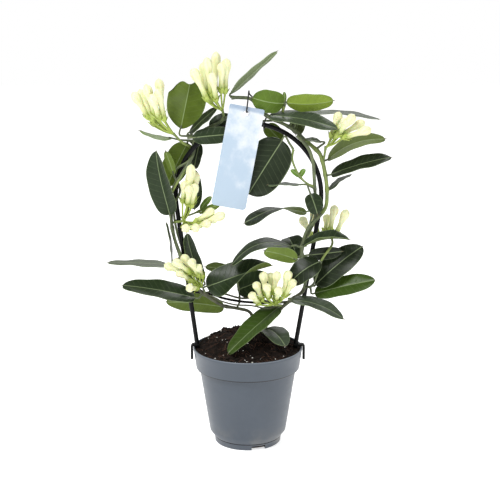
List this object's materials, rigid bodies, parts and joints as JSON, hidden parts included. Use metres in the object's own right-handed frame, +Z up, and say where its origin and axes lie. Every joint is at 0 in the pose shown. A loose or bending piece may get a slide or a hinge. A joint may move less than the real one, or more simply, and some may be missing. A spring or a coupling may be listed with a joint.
{
  "type": "potted stephanotis",
  "caption": "Twining plant with leathery oval leaves and clusters of waxy cream buds, trained round a wire hoop in a tapered nursery pot, with a plain tag tied to the hoop.",
  "frame": {"origin": "centre of the pot's flat bottom, which stands on the floor at z = 0", "axes": "+Z up, the longest extent; the hoop stands in the X-Z plane; the front, with the tag, faces -Y"},
  "size_m": [0.3038, 0.12, 0.4315],
  "materials": {
    "pot_plastic": "satin blue-grey polypropylene",
    "peat": "rough dark peat",
    "black_plastic": "satin black, plastic-coated wire",
    "tag_card": "coated pale blue card",
    "leaf_green": "leathery, satin gloss dark green",
    "bud_wax": "waxy cream-yellow"
  },
  "bodies": {
    "root": {"pot": "pot_plastic", "soil": "peat", "hoop": "black_plastic", "tag": "tag_card", "tag_tie": "black_plastic", "vine_right_foot": "leaf_green", "vine_right_low": "leaf_green", "vine_right_middle": "leaf_green", "vine_right_outer": "leaf_green", "vine_inner_low": "leaf_green", "vine_inner_high": "leaf_green", "vine_top_right": "leaf_green", "vine_left_foot": "leaf_green", "vine_left_low": "leaf_green", "vine_left_side": "leaf_green", "vine_top_left": "leaf_green", "buds_top_left": "bud_wax", "buds_top": "bud_wax", "buds_right": "bud_wax", "buds_left": "bud_wax", "buds_low_left": "bud_wax", "buds_low_middle": "bud_wax", "buds_low_right": "bud_wax"}
  },
  "joints": []
}
